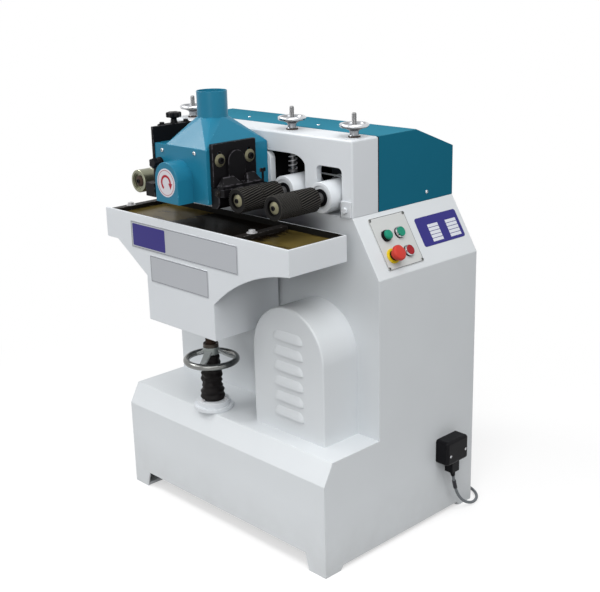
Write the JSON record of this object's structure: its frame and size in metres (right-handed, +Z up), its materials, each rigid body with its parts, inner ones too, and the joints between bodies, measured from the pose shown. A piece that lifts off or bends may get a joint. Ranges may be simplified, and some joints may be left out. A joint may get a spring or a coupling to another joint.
{
  "type": "moulder",
  "caption": "Single-spindle line moulder: sheet cabinet, rise-and-fall table on a knee, sprung feed rollers, chip hood with dust outlet and a sloped push-button panel.",
  "frame": {"origin": "on the floor at the centre of the base, midway between the four anchor holes", "axes": "+X right along the front, +Y to the back, +Z up"},
  "size_m": [0.828, 0.7701, 1.141],
  "materials": {
    "cabinet_paint": "smooth satin light grey paint",
    "white_casting": "satin white paint over casting",
    "teal_paint": "satin teal paint",
    "black_casting": "black oxide casting",
    "cast_grey": "painted grey casting",
    "steel": "machined steel",
    "fluted_steel": "blackened fluted steel",
    "outfeed_steel": "zinc plated steel",
    "chrome": "polished chrome",
    "oiled_plate": "oiled steel plate",
    "motor_body": "cast aluminium",
    "belt": "black rubber",
    "boot": "black folded cloth",
    "black_plastic": "black moulded plastic",
    "panel_plate": "brushed panel plate",
    "bezel": "chromed rings, yellow collar",
    "green_plastic": "green plastic",
    "red_plastic": "red plastic",
    "cord": "grey cord sheath"
  },
  "bodies": {
    "frame": {"bellows": "boot", "bridge": "white_casting", "button_bezels": "bezel", "cabinet": "cabinet_paint", "control_plate": "panel_plate", "cord_coil": "cord", "cord_gland": "black_plastic", "cord_plug": "black_plastic", "cord_run": "cord", "cord_tie": "black_plastic", "drive_belts": "belt", "end_cover": "teal_paint", "feed_bearings": "cast_grey", "feed_chain": "steel", "feed_gearmotor": "motor_body", "frame_bolts": "steel", "headstock": "cast_grey", "hood": "teal_paint", "infeed_1_spring": "steel", "infeed_2_spring": "steel", "lift_nut": "cabinet_paint", "main_motor": "motor_body", "motor_cover": "cabinet_paint", "outfeed_plate": "black_casting", "outfeed_spring": "steel", "power_plug": "black_plastic", "rear_cover": "teal_paint", "rear_panel": "cabinet_paint", "spindle_bearings": "steel"},
    "table": {"table_frame": "cabinet_paint", "table_top": "oiled_plate", "clamp_bars": "black_casting"},
    "lift_screw": {"lift_screw": "steel", "lift_handwheel": "chrome"},
    "spindle": {"spindle_shaft": "steel", "cutterhead": "steel", "cutter_knives": "steel"},
    "motor_shaft": {"motor_pulley": "steel"},
    "infeed_drive": {"infeed_drive_shaft": "steel"},
    "outfeed_drive": {"outfeed_drive_shaft": "steel"},
    "infeed_shoe": {"infeed_plate": "black_casting", "infeed_shoe": "black_casting"},
    "outfeed_shoe": {"outfeed_shoe": "black_casting"},
    "star_knob": {"star_knob": "black_plastic"},
    "green_button_1": {"green_button_1": "green_plastic"},
    "green_button_2": {"green_button_2": "green_plastic"},
    "red_button": {"red_button": "red_plastic"},
    "emergency_stop": {"emergency_stop": "red_plastic"},
    "infeed_1_arm": {"infeed_1_arm": "white_casting"},
    "infeed_1_roller": {"infeed_1_roller": "fluted_steel"},
    "infeed_1_rod": {"infeed_1_rod": "steel"},
    "infeed_1_wheel": {"infeed_1_wheel": "chrome"},
    "infeed_2_arm": {"infeed_2_arm": "white_casting"},
    "infeed_2_roller": {"infeed_2_roller": "fluted_steel"},
    "infeed_2_rod": {"infeed_2_rod": "steel"},
    "infeed_2_wheel": {"infeed_2_wheel": "chrome"},
    "outfeed_arm": {"outfeed_arm": "white_casting"},
    "outfeed_roller": {"outfeed_roller": "outfeed_steel"},
    "outfeed_rod": {"outfeed_rod": "steel"},
    "outfeed_wheel": {"outfeed_wheel": "chrome"}
  },
  "joints": [
    {"name": "table_lift", "type": "slide", "parent": "frame", "child": "table", "axis": [0, 0, 1], "range_m": [-0.055, 0.035], "deforming": ["bellows"]},
    {"name": "lift_screw_turn", "type": "hinge", "parent": "table", "child": "lift_screw", "pos_m": [-0.087, -0.227, 0.4], "axis": [0, 0, 1], "range_deg": [-3300, 2100]},
    {"name": "spindle_spin", "type": "hinge", "parent": "frame", "child": "spindle", "pos_m": [-0.087, 0, 0.93], "axis": [0, 1, 0], "continuous": true},
    {"name": "motor_spin", "type": "hinge", "parent": "frame", "child": "motor_shaft", "pos_m": [0.192, 0, 0.507], "axis": [0, 1, 0], "continuous": true},
    {"name": "infeed_drive_spin", "type": "hinge", "parent": "frame", "child": "infeed_drive", "pos_m": [0.164, 0, 0.897], "axis": [0, 1, 0], "continuous": true},
    {"name": "outfeed_drive_spin", "type": "hinge", "parent": "frame", "child": "outfeed_drive", "pos_m": [-0.232, 0, 0.897], "axis": [0, 1, 0], "continuous": true},
    {"name": "infeed_1_arm_swing", "type": "hinge", "parent": "frame", "child": "infeed_1_arm", "pos_m": [0.164, 0, 0.897], "axis": [0, 1, 0], "range_deg": [0, 10], "stiffness_Nm_per_rad": 60, "springref_deg": -5.73},
    {"name": "infeed_1_roller_spin", "type": "hinge", "parent": "infeed_1_arm", "child": "infeed_1_roller", "pos_m": [0.1, 0, 0.897], "axis": [0, 1, 0], "continuous": true},
    {"name": "infeed_1_rod_slide", "type": "slide", "parent": "frame", "child": "infeed_1_rod", "axis": [0, 0, 1], "range_m": [0, 0.0196], "deforming": ["infeed_1_spring"]},
    {"name": "infeed_1_wheel_turn", "type": "hinge", "parent": "infeed_1_rod", "child": "infeed_1_wheel", "pos_m": [0.057, -0.046, 1.05], "axis": [0, 0, 1], "range_deg": [-360, 360]},
    {"name": "infeed_2_arm_swing", "type": "hinge", "parent": "frame", "child": "infeed_2_arm", "pos_m": [0.164, 0, 0.897], "axis": [0, -1, 0], "range_deg": [0, 10], "stiffness_Nm_per_rad": 60, "springref_deg": -5.73},
    {"name": "infeed_2_roller_spin", "type": "hinge", "parent": "infeed_2_arm", "child": "infeed_2_roller", "pos_m": [0.228, 0, 0.897], "axis": [0, 1, 0], "continuous": true},
    {"name": "infeed_2_rod_slide", "type": "slide", "parent": "frame", "child": "infeed_2_rod", "axis": [0, 0, 1], "range_m": [0, 0.0196], "deforming": ["infeed_2_spring"]},
    {"name": "infeed_2_wheel_turn", "type": "hinge", "parent": "infeed_2_rod", "child": "infeed_2_wheel", "pos_m": [0.271, -0.046, 1.05], "axis": [0, 0, 1], "range_deg": [-360, 360]},
    {"name": "outfeed_arm_swing", "type": "hinge", "parent": "frame", "child": "outfeed_arm", "pos_m": [-0.232, 0, 0.897], "axis": [0, 1, 0], "range_deg": [0, 10], "stiffness_Nm_per_rad": 60, "springref_deg": -5.73},
    {"name": "outfeed_roller_spin", "type": "hinge", "parent": "outfeed_arm", "child": "outfeed_roller", "pos_m": [-0.296, 0, 0.897], "axis": [0, 1, 0], "continuous": true},
    {"name": "outfeed_rod_slide", "type": "slide", "parent": "frame", "child": "outfeed_rod", "axis": [0, 0, 1], "range_m": [0, 0.0196], "deforming": ["outfeed_spring"]},
    {"name": "outfeed_wheel_turn", "type": "hinge", "parent": "outfeed_rod", "child": "outfeed_wheel", "pos_m": [-0.339, -0.046, 1.05], "axis": [0, 0, 1], "range_deg": [-360, 360]},
    {"name": "infeed_shoe_slide", "type": "slide", "parent": "frame", "child": "infeed_shoe", "axis": [0, 0, 1], "range_m": [-0.012, 0.002]},
    {"name": "star_knob_turn", "type": "hinge", "parent": "frame", "child": "star_knob", "pos_m": [-0.2033, -0.2175, 1.05], "axis": [0, 0, 1], "range_deg": [-901, 901]},
    {"name": "outfeed_shoe_slide", "type": "slide", "parent": "frame", "child": "outfeed_shoe", "axis": [0, 0, 1], "range_m": [-0.005, 0.005]},
    {"name": "green_button_1_press", "type": "slide", "parent": "frame", "child": "green_button_1", "axis": [-0.8575, 0, -0.5145], "range_m": [0, 0.004], "stiffness_N_per_m": 800, "springref_m": -0.002},
    {"name": "green_button_2_press", "type": "slide", "parent": "frame", "child": "green_button_2", "axis": [-0.8575, 0, -0.5145], "range_m": [0, 0.004], "stiffness_N_per_m": 800, "springref_m": -0.002},
    {"name": "red_button_press", "type": "slide", "parent": "frame", "child": "red_button", "axis": [-0.8575, 0, -0.5145], "range_m": [0, 0.004], "stiffness_N_per_m": 800, "springref_m": -0.002},
    {"name": "emergency_stop_press", "type": "slide", "parent": "frame", "child": "emergency_stop", "axis": [-0.8575, 0, -0.5145], "range_m": [0, 0.005], "stiffness_N_per_m": 1500, "springref_m": -0.002}
  ],
  "couplings": [
    {"joint": "table_lift", "follows": "lift_screw_turn", "m_per_rad": 0.00095493},
    {"joint": "motor_spin", "follows": "spindle_spin", "ratio": 0.45714},
    {"joint": "outfeed_drive_spin", "follows": "infeed_drive_spin", "ratio": 1},
    {"joint": "star_knob_turn", "follows": "outfeed_shoe_slide", "rad_per_m": 3141.6},
    {"joint": "infeed_1_roller_spin", "follows": "infeed_drive_spin", "ratio": 1},
    {"joint": "infeed_1_rod_slide", "follows": "infeed_1_arm_swing", "m_per_rad": 0.112},
    {"joint": "infeed_2_roller_spin", "follows": "infeed_drive_spin", "ratio": 1},
    {"joint": "infeed_2_rod_slide", "follows": "infeed_2_arm_swing", "m_per_rad": 0.112},
    {"joint": "outfeed_roller_spin", "follows": "infeed_drive_spin", "ratio": 1},
    {"joint": "outfeed_rod_slide", "follows": "outfeed_arm_swing", "m_per_rad": 0.112}
  ]
}
